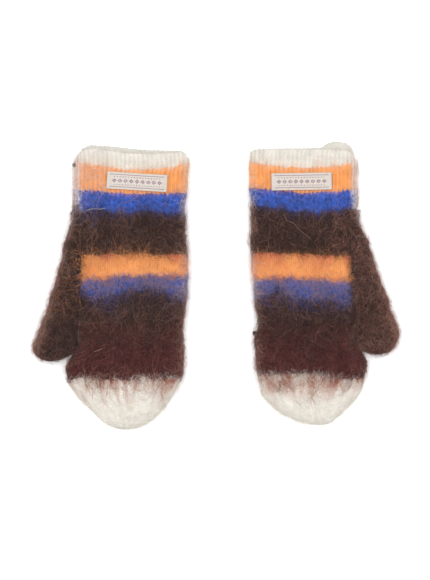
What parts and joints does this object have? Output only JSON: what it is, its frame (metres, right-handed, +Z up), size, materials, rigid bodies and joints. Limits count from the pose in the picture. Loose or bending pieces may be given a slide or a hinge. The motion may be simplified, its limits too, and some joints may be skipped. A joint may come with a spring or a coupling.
{
  "type": "knitted mittens",
  "caption": "Pair of brushed-knit striped mittens lying flat, with ribbed cuffs, side thumbs and cream tips, each a hollow tube that folds at the wrist and the fingers.",
  "frame": {"origin": "centre of the pair's outline, on the surface that the mittens lie on", "axes": "+Z up out of the backs of the hands, -Y towards the fingertips, +X from the left-hand mitten to the right-hand one"},
  "size_m": [0.338, 0.26, 0.0212],
  "materials": {
    "cream_yarn": "brushed, hairy mohair-type knit, 1x1 rib on the cuff",
    "orange_yarn": "brushed, hairy mohair-type knit",
    "blue_yarn": "brushed, hairy mohair-type knit",
    "brown_yarn": "brushed, hairy mohair-type knit",
    "brown_maroon_yarn": "brushed knit, brown and maroon rows running into each other",
    "maroon_yarn": "brushed, hairy mohair-type knit",
    "seam_yarn": "linked seam allowance, inside",
    "label_weave": "fine satin-woven label tape",
    "label_thread": "sewing thread"
  },
  "bodies": {
    "left_hand": {"left_wrist_band": "blue_yarn", "left_palm_brown_band": "brown_yarn", "left_palm_orange_band": "orange_yarn", "left_knuckle_blue_band": "blue_yarn", "left_finger_brown_band": "brown_yarn", "left_finger_fold_band": "brown_maroon_yarn", "left_thumb_gusset": "brown_yarn", "left_gusset_seam": "seam_yarn"},
    "left_cuff": {"left_cuff_welt": "cream_yarn", "left_cuff_rib_band": "orange_yarn", "left_cuff_side_seam": "seam_yarn", "left_woven_label": "label_weave", "left_label_stitches": "label_thread"},
    "left_fingers": {"left_finger_maroon_band": "maroon_yarn", "left_mitten_tip": "cream_yarn", "left_finger_side_seam": "seam_yarn", "left_tip_seam": "seam_yarn"},
    "left_thumb": {"left_thumb": "brown_yarn", "left_thumb_seam": "seam_yarn"},
    "right_hand": {"right_wrist_band": "blue_yarn", "right_palm_brown_band": "brown_yarn", "right_palm_orange_band": "orange_yarn", "right_knuckle_blue_band": "blue_yarn", "right_finger_brown_band": "brown_yarn", "right_finger_fold_band": "brown_maroon_yarn", "right_thumb_gusset": "brown_yarn", "right_gusset_seam": "seam_yarn"},
    "right_cuff": {"right_cuff_welt": "cream_yarn", "right_cuff_rib_band": "orange_yarn", "right_cuff_side_seam": "seam_yarn", "right_woven_label": "label_weave", "right_label_stitches": "label_thread"},
    "right_fingers": {"right_finger_maroon_band": "maroon_yarn", "right_mitten_tip": "cream_yarn", "right_finger_side_seam": "seam_yarn", "right_tip_seam": "seam_yarn"},
    "right_thumb": {"right_thumb": "brown_yarn", "right_thumb_seam": "seam_yarn"}
  },
  "joints": [
    {"name": "right_mitten_lift", "type": "slide", "parent": "left_hand", "child": "right_hand", "axis": [0, 0, 1], "range_m": [0, 0.15]},
    {"name": "left_wrist_fold", "type": "hinge", "parent": "left_hand", "child": "left_cuff", "pos_m": [-0.0797, 0.0785, 0.01], "axis": [1, 0, 0], "range_deg": [0, 75], "deforming": ["left_wrist_band"]},
    {"name": "left_finger_fold", "type": "hinge", "parent": "left_hand", "child": "left_fingers", "pos_m": [-0.08, -0.045, 0.01], "axis": [-1, 0, 0], "range_deg": [0, 90], "deforming": ["left_finger_fold_band"]},
    {"name": "left_thumb_swing", "type": "hinge", "parent": "left_hand", "child": "left_thumb", "pos_m": [-0.1275, -0.033, 0.01], "axis": [0, 0, -1], "range_deg": [0, 35], "deforming": ["left_thumb_gusset", "left_gusset_seam"]},
    {"name": "right_wrist_fold", "type": "hinge", "parent": "right_hand", "child": "right_cuff", "pos_m": [0.0797, 0.0785, 0.01], "axis": [1, 0, 0], "range_deg": [0, 75], "deforming": ["right_wrist_band"]},
    {"name": "right_finger_fold", "type": "hinge", "parent": "right_hand", "child": "right_fingers", "pos_m": [0.08, -0.045, 0.01], "axis": [-1, 0, 0], "range_deg": [0, 90], "deforming": ["right_finger_fold_band"]},
    {"name": "right_thumb_swing", "type": "hinge", "parent": "right_hand", "child": "right_thumb", "pos_m": [0.1275, -0.033, 0.01], "axis": [0, 0, 1], "range_deg": [0, 35], "deforming": ["right_thumb_gusset", "right_gusset_seam"]}
  ]
}
